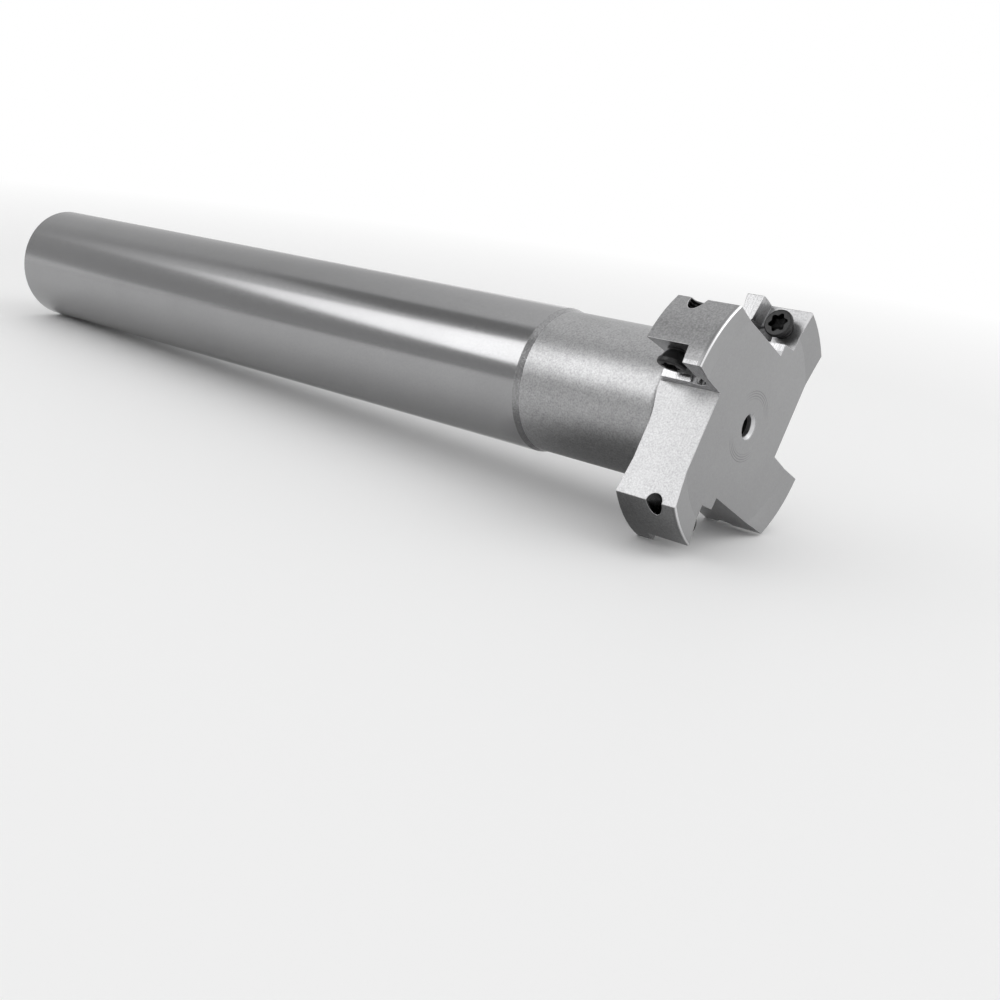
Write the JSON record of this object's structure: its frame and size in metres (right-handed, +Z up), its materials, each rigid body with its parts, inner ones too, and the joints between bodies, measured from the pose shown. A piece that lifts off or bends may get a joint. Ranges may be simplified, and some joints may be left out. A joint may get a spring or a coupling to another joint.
{
  "type": "t slot cutter",
  "caption": "T slot milling cutter with a pinwheel head on a long plain round shank, its staggered insert pockets empty but for their screws.",
  "frame": {"origin": "centre of the tool's footprint on the table it lies on, at the table's level", "axes": "+X along the tool towards its head, which lies 2 degrees higher than the shank, +Z up, +Y to the left seen from the shank's end"},
  "size_m": [0.2462, 0.048, 0.0485],
  "materials": {
    "steel": "ground shank, satin neck and head",
    "black_steel": "black oxide, semi-matt"
  },
  "bodies": {
    "root": {"cutter_body": "steel", "insert_screws": "black_steel"}
  },
  "joints": []
}
